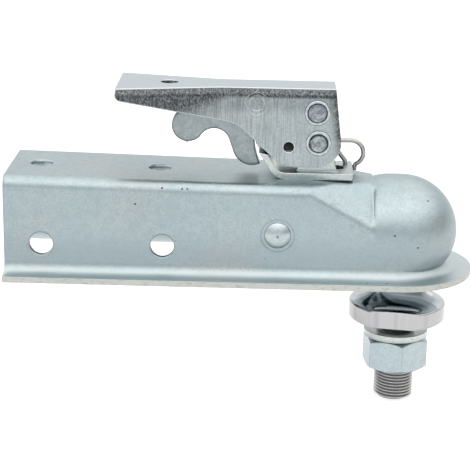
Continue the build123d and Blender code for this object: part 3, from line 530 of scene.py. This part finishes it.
# The hitch ball is one forging: ball, neck, flange with two wrench flats, and shank.
# It is turned, polished and chromed; the shank's thread is left plain steel.
BALL_X = 0.1458
BALL_Z = -0.0285
BALL_RADIUS = 0.0238125
BALL_TOP_FLAT = 0.0079
NECK_RADIUS = 0.0127
NECK_FOOT_Z = -0.0547
NECK_FLARE = 0.00985
FLANGE_RADIUS = 0.0236
FLANGE_EDGE = 0.00105
FLANGE_FOOT_Z = -0.0732
FLANGE_CHAMFER = 0.0009
FLAT_DISTANCE = 0.0206375
FLAT_TURN = math.radians(-98.5)
FLAT_RISE = 0.004
SHANK_RADIUS = 0.009525
SHANK_END_Z = -0.1149
SHANK_CHAMFER = 0.0012
THREAD_PITCH = 0.0015875
THREAD_DEPTH = 0.00094
THREAD_TOP_Z = -0.0775
RING_POINTS = 144
BALL_STEPS = 48
NECK_STEPS = 20
EDGE_STEPS = 6
BALL_SHARP = math.radians(32.0)
CHROME_TINT = (0.60, 0.62, 0.64)
CHROME_ROUGH = 0.08
CHROME_PAINTED_DARK = (0.10, 0.11, 0.12)
CHROME_EDGE = 0.0005
CHROME_EDGE_BEND = (0.995, 0.93)
HAZE_SCALE = 120.0
WAVE_SCALE = 90.0
WAVE_RELIEF = 0.0003
NECK_HAZE_AND_SHADE = (0.25, 0.29, 0.315)
NECK_TOP_Z = (-0.0500, -0.0540)
NECK_ROOT_RISE = 0.0012
RIM_DROP = 0.0006
RIM_PAINTED_REFLECTION = (0.465, 0.465, 0.475)
RIM_BARS = (150.0, 150.0, 6.0)
ROOT_PAINTED_SHADE = (0.12, 0.12, 0.125)


def arc(centre, radius, start, end, steps):
    """Points along an arc of the profile, as (radius, height) pairs."""
    turns = [math.radians(start + (end - start) * i / steps) for i in range(steps + 1)]
    return [(centre[0] + radius * math.cos(a), centre[1] + radius * math.sin(a)) for a in turns]


def turned_mesh(name, profile, flats=None):
    """A closed mesh turned about the ball's axis, with two flats cut over a height."""
    mesh = bpy.data.meshes.new(name)
    shape = bmesh.new()
    angles = [2 * math.pi * i / RING_POINTS for i in range(RING_POINTS)]
    if flats:
        half_flat = math.acos(flats["distance"] / FLANGE_RADIUS)
        for side in (0.0, math.pi):
            angles += [(flats["turn"] + side + way * half_flat) % (2 * math.pi) for way in (-1, 1)]
        angles.sort()
    rings = []
    for radius, height in profile:
        if radius < 1e-6:
            rings.append([shape.verts.new((BALL_X, 0.0, height))])
            continue
        ring = []
        for angle in angles:
            reach = radius
            if flats and flats["low"] <= height <= flats["high"]:
                lean = abs(math.cos(angle - flats["turn"]))
                if lean * radius > flats["distance"]:
                    reach = flats["distance"] / lean
            ring.append(
                shape.verts.new((BALL_X + reach * math.cos(angle), reach * math.sin(angle), height))
            )
        rings.append(ring)
    for upper, lower in zip(rings, rings[1:]):
        count = max(len(upper), len(lower))
        for i in range(count):
            j = (i + 1) % count
            if len(upper) == 1:
                shape.faces.new((upper[0], lower[i], lower[j]))
            elif len(lower) == 1:
                shape.faces.new((upper[i], lower[0], upper[j]))
            else:
                shape.faces.new((upper[i], lower[i], lower[j], upper[j]))
    bmesh.ops.recalc_face_normals(shape, faces=shape.faces)
    shape.to_mesh(mesh)
    shape.free()
    mesh.shade_smooth()
    mesh.set_sharp_from_angle(angle=BALL_SHARP)
    made = bpy.data.objects.new(name, mesh)
    bpy.context.scene.collection.objects.link(made)
    return made


crown_angle = math.degrees(math.acos(BALL_TOP_FLAT / BALL_RADIUS))
throat_angle = -math.degrees(math.acos(NECK_RADIUS / BALL_RADIUS))
core_radius = SHANK_RADIUS - THREAD_DEPTH
rim_z = NECK_FOOT_Z - NECK_FLARE
profile = [(0.0, BALL_Z + BALL_RADIUS * math.sin(math.radians(crown_angle)))]
profile += arc((0.0, BALL_Z), BALL_RADIUS, crown_angle, throat_angle, BALL_STEPS)
profile += arc((NECK_RADIUS + NECK_FLARE, NECK_FOOT_Z), NECK_FLARE, 180.0, 270.0, NECK_STEPS)
profile += arc((FLANGE_RADIUS - FLANGE_EDGE, rim_z - FLANGE_EDGE), FLANGE_EDGE, 80.0, 0.0, EDGE_STEPS)
profile += [
    (FLANGE_RADIUS, FLANGE_FOOT_Z + FLANGE_CHAMFER),
    (FLANGE_RADIUS - FLANGE_CHAMFER, FLANGE_FOOT_Z),
    (SHANK_RADIUS, FLANGE_FOOT_Z),
    (SHANK_RADIUS, THREAD_TOP_Z),
    (core_radius, THREAD_TOP_Z - THREAD_DEPTH),
    (core_radius, SHANK_END_Z + SHANK_CHAMFER),
    (core_radius - SHANK_CHAMFER, SHANK_END_Z),
    (0.0, SHANK_END_Z),
]
hitch_ball = turned_mesh(
    "hitch_ball_forging",
    profile,
    flats={"distance": FLAT_DISTANCE, "turn": FLAT_TURN, "low": FLANGE_FOOT_Z, "high": rim_z + FLAT_RISE},
)

chrome = bare_metal("chrome_ball")
tree, place, _, _, z = own_place(chrome)
metal = tree.nodes["steel"]
haze = noise(tree, place, HAZE_SCALE, detail=4.0)
gloss = grade(tree, haze, 0.3, 0.7, CHROME_ROUGH * 0.6, CHROME_ROUGH * 1.5)
tree.links.new(gloss, metal.inputs["Roughness"])
clouded = blend(tree, grade(tree, haze, 0.35, 0.65, out_high=0.25), CHROME_TINT, NECK_HAZE_AND_SHADE)
tree.links.new(clouded, metal.inputs["Base Color"])
# Painted shade: the neck is coloured darker between the ball and the flange.
in_neck = both(tree, grade(tree, z, rim_z, rim_z + NECK_ROOT_RISE), grade(tree, z, *NECK_TOP_Z))
tint_over(chrome, both(tree, in_neck, 0.9), NECK_HAZE_AND_SHADE)
# Painted reflection: the flange below its rim is coloured darker, with dark upright bars.
on_rim = grade(tree, z, rim_z, rim_z - RIM_DROP)
tint_over(chrome, on_rim, RIM_PAINTED_REFLECTION)
reflected_bars = noise(tree, place, 1.0, stretch=RIM_BARS)
tint_over(chrome, both(tree, on_rim, grade(tree, reflected_bars, 0.52, 0.72, out_high=0.35)), CHROME_PAINTED_DARK)
# Painted shade: dark lines along the chrome's edges.
flat = rounded_edge(tree, CHROME_EDGE)
tint_over(chrome, grade(tree, flat, *CHROME_EDGE_BEND, out_high=0.8), CHROME_PAINTED_DARK)
bump_over(chrome, noise(tree, place, WAVE_SCALE, detail=1.0), WAVE_RELIEF, strength=0.2)

thread_steel = plated_steel(
    "thread_steel",
    tint=(0.60, 0.61, 0.60),
    warm=(0.62, 0.61, 0.58),
    shade=(0.50, 0.51, 0.51),
    rough=0.30,
    soft_edge=0.0001,
    painted_edge_share=0.0,
)
tree, _, x, y, _ = own_place(thread_steel)
out = from_axis(tree, x, y, (BALL_X, 0.0))
# Painted shade: the thread's roots are coloured darker.
in_root = grade(tree, out, SHANK_RADIUS - 0.0003, core_radius + 0.0001, out_high=0.85)
tint_over(thread_steel, in_root, ROOT_PAINTED_SHADE)
hitch_ball.data.materials.append(chrome)
hitch_ball.data.materials.append(thread_steel)
for face in hitch_ball.data.polygons:
    if face.center.z < THREAD_TOP_Z + 0.0005:
        face.material_index = 1
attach(hitch_ball, "ball")
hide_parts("hitch_ball")

# The shank's thread is one ridge wound round its core, 16 turns to the inch, rolled
# rather than cut. A geometry tree winds it from the shank's own sizes.
RIDGE_HEIGHT_OF_DEPTH = 2.0
RIDGE_ROOT_OF_PITCH = 1.55
RIDGE_CREST_OF_PITCH = 0.17
STEPS_OF_TURN = 64
THREAD_SHARP = math.radians(35.0)


def thread_tree(material):
    """A ridge wound on a spiral; every size is an input of the tree."""
    tree = bpy.data.node_groups.new("wound_thread", "GeometryNodeTree")
    tree.interface.new_socket("Geometry", in_out="OUTPUT", socket_type="NodeSocketGeometry")
    for name in ("Root Radius", "Pitch", "Depth", "Height", "Foot"):
        tree.interface.new_socket(name, in_out="INPUT", socket_type="NodeSocketFloat")
    tree.interface.new_socket("Centre X", in_out="INPUT", socket_type="NodeSocketFloat")
    tree.interface.new_socket("Steps", in_out="INPUT", socket_type="NodeSocketInt")
    link = tree.links.new
    given = tree.nodes.new("NodeGroupInput")
    out = tree.nodes.new("NodeGroupOutput")

    spiral = tree.nodes.new("GeometryNodeCurveSpiral")
    link(given.outputs["Steps"], spiral.inputs["Resolution"])
    link(reckon(tree, "DIVIDE", given.outputs["Height"], given.outputs["Pitch"]), spiral.inputs["Rotations"])
    link(given.outputs["Root Radius"], spiral.inputs["Start Radius"])
    link(given.outputs["Root Radius"], spiral.inputs["End Radius"])
    link(given.outputs["Height"], spiral.inputs["Height"])
    upright = tree.nodes.new("GeometryNodeSetCurveNormal")
    upright.mode = "Z_UP"
    link(spiral.outputs["Curve"], upright.inputs["Curve"])
    ridge = tree.nodes.new("GeometryNodeCurvePrimitiveQuadrilateral")
    ridge.mode = "TRAPEZOID"
    link(reckon(tree, "MULTIPLY", given.outputs["Depth"], RIDGE_HEIGHT_OF_DEPTH), ridge.inputs["Height"])
    link(reckon(tree, "MULTIPLY", given.outputs["Pitch"], RIDGE_ROOT_OF_PITCH), ridge.inputs["Bottom Width"])
    link(reckon(tree, "MULTIPLY", given.outputs["Pitch"], RIDGE_CREST_OF_PITCH), ridge.inputs["Top Width"])
    ridge.inputs["Offset"].default_value = 0.0
    outward = tree.nodes.new("GeometryNodeTransform")
    outward.inputs["Rotation"].default_value = (0.0, 0.0, math.radians(90.0))
    link(ridge.outputs["Curve"], outward.inputs["Geometry"])
    wound = tree.nodes.new("GeometryNodeCurveToMesh")
    wound.inputs["Fill Caps"].default_value = True
    link(upright.outputs["Curve"], wound.inputs["Curve"])
    link(outward.outputs["Geometry"], wound.inputs["Profile Curve"])
    where = tree.nodes.new("ShaderNodeCombineXYZ")
    link(given.outputs["Centre X"], where.inputs["X"])
    link(given.outputs["Foot"], where.inputs["Z"])
    moved = tree.nodes.new("GeometryNodeTransform")
    link(wound.outputs["Mesh"], moved.inputs["Geometry"])
    link(where.outputs["Vector"], moved.inputs["Translation"])
    real = tree.nodes.new("GeometryNodeRealizeInstances")
    link(moved.outputs["Geometry"], real.inputs["Geometry"])
    finish = tree.nodes.new("GeometryNodeSetMaterial")
    finish.inputs["Material"].default_value = material
    link(real.outputs["Geometry"], finish.inputs["Geometry"])
    link(finish.outputs["Geometry"], out.inputs["Geometry"])
    return tree


def wind(name, tree, **sizes):
    """Runs the tree with these sizes and keeps the result as a plain mesh."""
    carrier = bpy.data.objects.new(name + "_tree", bpy.data.meshes.new(name + "_tree"))
    bpy.context.scene.collection.objects.link(carrier)
    run = carrier.modifiers.new("thread", "NODES")
    run.node_group = tree
    keys = {item.name: item.identifier for item in tree.interface.items_tree if item.in_out == "INPUT"}
    for key, value in sizes.items():
        run[keys[key.replace("_", " ")]] = value
    bpy.context.view_layer.update()
    graph = bpy.context.evaluated_depsgraph_get()
    mesh = bpy.data.meshes.new_from_object(carrier.evaluated_get(graph))
    carrier.modifiers.remove(run)
    bpy.data.objects.remove(carrier)
    mesh.name = name
    mesh.shade_smooth()
    mesh.set_sharp_from_angle(angle=THREAD_SHARP)
    made = bpy.data.objects.new(name, mesh)
    bpy.context.scene.collection.objects.link(made)
    return made


shank_thread = wind(
    "shank_thread",
    thread_tree(thread_steel),
    Root_Radius=core_radius,
    Pitch=THREAD_PITCH,
    Depth=THREAD_DEPTH,
    Height=THREAD_TOP_Z - SHANK_END_Z - 2 * SHANK_CHAMFER,
    Foot=SHANK_END_Z + SHANK_CHAMFER,
    Centre_X=BALL_X,
    Steps=STEPS_OF_TURN,
)
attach(shank_thread, "ball")

# The shank's nut and split washer are plain hardware in bright bluish zinc. The nut's
# faces are smooth from forging, and the washer is a coiled bar cut through.
WASHER_PAINTED_SHADE = (0.33, 0.385, 0.375)
WASHER_PAINTED_SHADE_Z = (-0.0808, -0.0817)

# Painted shade: the nut's and the washer's edges are coloured dark.
nut_zinc = plated_steel(
    "zinc_nut",
    tint=(0.475, 0.565, 0.595),
    warm=(0.52, 0.575, 0.585),
    shade=(0.43, 0.525, 0.555),
    rough=0.26,
    soft_edge=0.0007,
    painted_edge_share=0.6,
    painted_edge_colour=(0.20, 0.24, 0.26),
)
washer_zinc = plated_steel(
    "zinc_washer",
    tint=(0.62, 0.66, 0.64),
    warm=(0.66, 0.67, 0.62),
    shade=(0.50, 0.55, 0.55),
    rough=0.22,
    soft_edge=0.0006,
    painted_edge_share=0.7,
    painted_edge_colour=(0.13, 0.15, 0.15),
)
tree, _, _, _, z = own_place(washer_zinc)
# Painted shade: the washer's lower part is coloured darker.
tint_over(washer_zinc, grade(tree, z, *WASHER_PAINTED_SHADE_Z, out_high=0.6), WASHER_PAINTED_SHADE)
dress(["hex_nut"], nut_zinc)
dress(["lock_washer"], washer_zinc)

# The studio: a white table under the shank's end and a tent of light over it, brightest
# overhead and open towards the camera, where the room is a little darker. The metal
# shows the same white behind the object that the camera sees.
TABLE_SIZE = 6.0
TABLE_GAP = 0.0005
PAPER_COLOUR = (0.80, 0.80, 0.80)
PAPER_GLOW = 0.80
SHADOW_COLOUR = (0.30, 0.30, 0.30)
WHITE = (1.0, 1.0, 1.0)
TENT_TOP = 2.05
TENT_TOP_BACK = 1.55
TENT_TOP_Y = (-0.5, 0.6)
TENT_BACK = 1.0
ROOM_FRONT = 0.82
ROOM_Y = (-0.75, 0.35)
SIDE_LOSS = 0.55
SIDE_LOSS_X = (0.35, 0.95)
TENT_RISE_Z = (0.26, 0.70)
BEHIND_Y = (0.30, 0.60)
TENT_LOW_COLOUR = (0.98, 0.995, 1.0)
TENT_TOP_COLOUR = (1.0, 0.965, 0.945)
LAMP_PLACE = (-0.15, -0.25, 0.95)
LAMP_TARGET = (0.08, 0.0, -0.02)
LAMP_SIZE = 0.45
LAMP_POWER = 3.0

table_mesh = bpy.data.meshes.new("studio_table")
half = TABLE_SIZE / 2
table_z = SHANK_END_Z - TABLE_GAP
table_mesh.from_pydata(
    [(-half, -half, table_z), (half, -half, table_z), (half, half, table_z), (-half, half, table_z)],
    [],
    [(0, 1, 2, 3)],
)
table = bpy.data.objects.new("studio_table", table_mesh)
bpy.context.scene.collection.objects.link(table)


def coloured(tree, kind, colour, **inputs):
    """A shader node of one colour."""
    made = add_node(tree, kind, **inputs)
    made.inputs["Color"].default_value = (*colour, 1.0)
    return made


def seen_white(tree, lit, white, out, in_metal=1.0):
    """Shows plain white to the camera, through glass and in metal, the lit shader elsewhere."""
    link = tree.links.new
    ray = add_node(tree, "ShaderNodeLightPath")
    seen = reckon(tree, "MAXIMUM", ray.outputs["Is Camera Ray"], ray.outputs["Is Transmission Ray"])
    seen = reckon(tree, "MAXIMUM", seen, both(tree, ray.outputs["Is Glossy Ray"], in_metal))
    mix = add_node(tree, "ShaderNodeMixShader")
    link(seen, mix.inputs["Fac"])
    link(lit.outputs[0], mix.inputs[1])
    link(white.outputs[0], mix.inputs[2])
    link(mix.outputs["Shader"], out.inputs["Surface"])


table_paper = bpy.data.materials.new("table_paper")
table_paper.use_nodes = True
paper = table_paper.node_tree
paper.nodes.clear()
paper_out = add_node(paper, "ShaderNodeOutputMaterial")
paper_lit = coloured(paper, "ShaderNodeBsdfDiffuse", PAPER_COLOUR)
paper_white = add_node(paper, "ShaderNodeAddShader")
paper.links.new(add_node(paper, "ShaderNodeEmission", Strength=PAPER_GLOW).outputs[0], paper_white.inputs[0])
paper.links.new(coloured(paper, "ShaderNodeBsdfDiffuse", SHADOW_COLOUR).outputs[0], paper_white.inputs[1])
seen_white(paper, paper_lit, paper_white, paper_out)
table_mesh.materials.append(table_paper)

world = bpy.data.worlds.new("light_tent")
bpy.context.scene.world = world
world.use_nodes = True
tent = world.node_tree
tent.nodes.clear()
tent_out = add_node(tent, "ShaderNodeOutputWorld")
way = add_node(tent, "ShaderNodeSeparateXYZ")
tent.links.new(add_node(tent, "ShaderNodeTexCoord").outputs["Generated"], way.inputs["Vector"])
side_loss = grade(tent, way.outputs["X"], *SIDE_LOSS_X, 1.0, SIDE_LOSS)
low_light = both(tent, grade(tent, way.outputs["Y"], *ROOM_Y, ROOM_FRONT, TENT_BACK), side_loss)
rise = grade(tent, way.outputs["Z"], *TENT_RISE_Z)
high_light = grade(tent, way.outputs["Y"], *TENT_TOP_Y, TENT_TOP, TENT_TOP_BACK)
top_light = both(tent, reckon(tent, "SUBTRACT", high_light, low_light), rise)
tent_lit = add_node(tent, "ShaderNodeBackground")
tent.links.new(blend(tent, rise, TENT_LOW_COLOUR, TENT_TOP_COLOUR), tent_lit.inputs["Color"])
tent.links.new(reckon(tent, "ADD", low_light, top_light), tent_lit.inputs["Strength"])
tent_white = coloured(tent, "ShaderNodeBackground", WHITE, Strength=1.0)
below_top = reckon(tent, "SUBTRACT", 1.0, rise)
low_behind = both(tent, grade(tent, way.outputs["Y"], *BEHIND_Y), below_top)
seen_white(tent, tent_lit, tent_white, tent_out, low_behind)

lamp_data = bpy.data.lights.new("shadow_lamp", "AREA")
lamp_data.shape = "SQUARE"
lamp_data.size = LAMP_SIZE
lamp_data.energy = LAMP_POWER
lamp = bpy.data.objects.new("shadow_lamp", lamp_data)
lamp.location = LAMP_PLACE
lamp.rotation_euler = (Vector(LAMP_TARGET) - Vector(LAMP_PLACE)).to_track_quat("-Z", "Y").to_euler()
lamp.visible_glossy = False
bpy.context.scene.collection.objects.link(lamp)

# The camera stands where the photograph was taken from: in front of the near wall,
# above it, with a long lens.
CAMERA_PLACE = (0.08055, -0.71426, 0.18622)
CAMERA_RIGHT = (0.99949065, 0.02667794, 0.0175139)
CAMERA_UP = (-0.02458381, 0.29370089, 0.9555812)
CAMERA_AHEAD = (-0.02034909, 0.95552503, -0.29420714)
CAMERA_LENS = 117.26

camera_data = bpy.data.cameras.new("camera")
camera_data.lens = CAMERA_LENS
camera_data.sensor_width = 36.0
camera_data.clip_start = 0.01
camera_data.clip_end = 20.0
camera = bpy.data.objects.new("camera", camera_data)
axes = Matrix((CAMERA_RIGHT, CAMERA_UP, [-value for value in CAMERA_AHEAD])).transposed()
camera.matrix_world = Matrix.Translation(CAMERA_PLACE) @ axes.to_4x4()
bpy.context.scene.collection.objects.link(camera)
bpy.context.scene.camera = camera
bpy.context.scene.view_settings.view_transform = "Standard"
